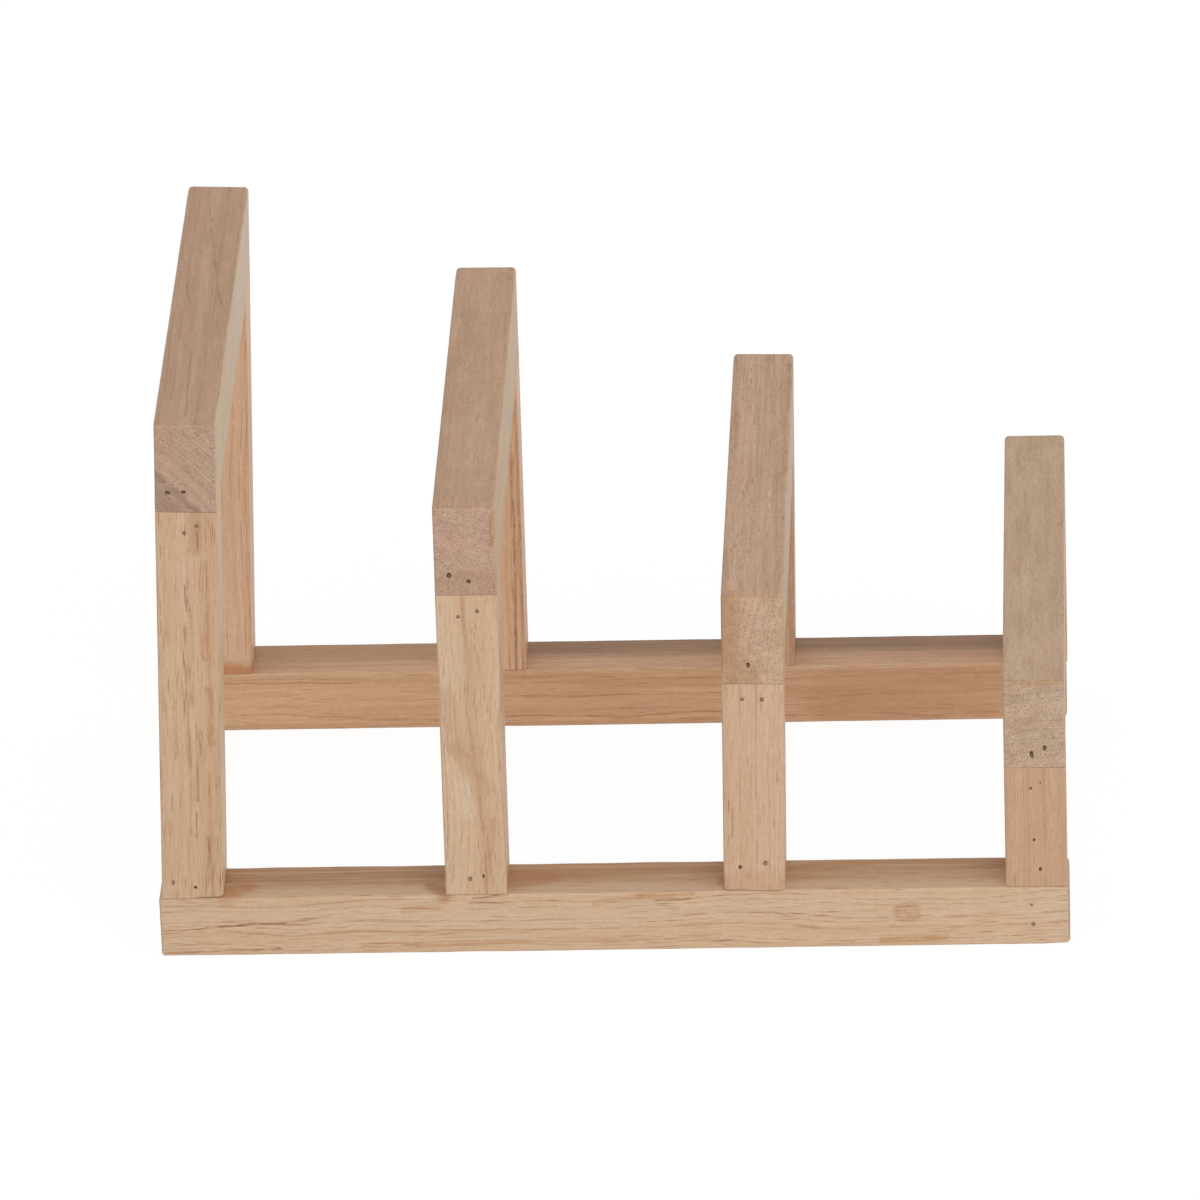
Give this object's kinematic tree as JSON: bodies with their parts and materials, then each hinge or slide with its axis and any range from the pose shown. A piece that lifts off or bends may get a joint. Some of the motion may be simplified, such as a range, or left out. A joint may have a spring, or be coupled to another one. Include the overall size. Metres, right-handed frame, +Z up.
{
  "type": "plate rack",
  "caption": "Free-standing wooden plate rack: square arches of stepped height stand across two rails, and plates stand on edge in the slots between them.",
  "frame": {"origin": "middle of the rack's underside, on the surface it stands on", "axes": "+X along the rails towards the lowest arch, +Y from the front faces to the rear ones, +Z up"},
  "size_m": [0.26, 0.159, 0.1697],
  "materials": {
    "rail_wood": "planed and sanded rubberwood, bare",
    "upright_wood": "planed and sanded rubberwood, bare",
    "crossbar_wood": "planed and sanded rubberwood, bare, a little greyer",
    "brad_steel": "dull drawn steel wire"
  },
  "bodies": {
    "root": {"front_rail": "rail_wood", "rear_rail": "rail_wood", "front_upright_1": "upright_wood", "front_upright_2": "upright_wood", "front_upright_3": "upright_wood", "front_upright_4": "upright_wood", "rear_upright_1": "upright_wood", "rear_upright_2": "upright_wood", "rear_upright_3": "upright_wood", "rear_upright_4": "upright_wood", "crossbar_1": "crossbar_wood", "crossbar_2": "crossbar_wood", "crossbar_3": "crossbar_wood", "crossbar_4": "crossbar_wood", "crossbar_brads_1": "brad_steel", "crossbar_brads_2": "brad_steel", "crossbar_brads_3": "brad_steel", "crossbar_brads_4": "brad_steel", "upright_brads_1": "brad_steel", "upright_brads_2": "brad_steel", "upright_brads_3": "brad_steel", "upright_brads_4": "brad_steel", "foot_brads_1": "brad_steel", "foot_brads_2": "brad_steel", "foot_brads_3": "brad_steel", "foot_brads_4": "brad_steel", "rail_brads": "brad_steel"}
  },
  "joints": []
}
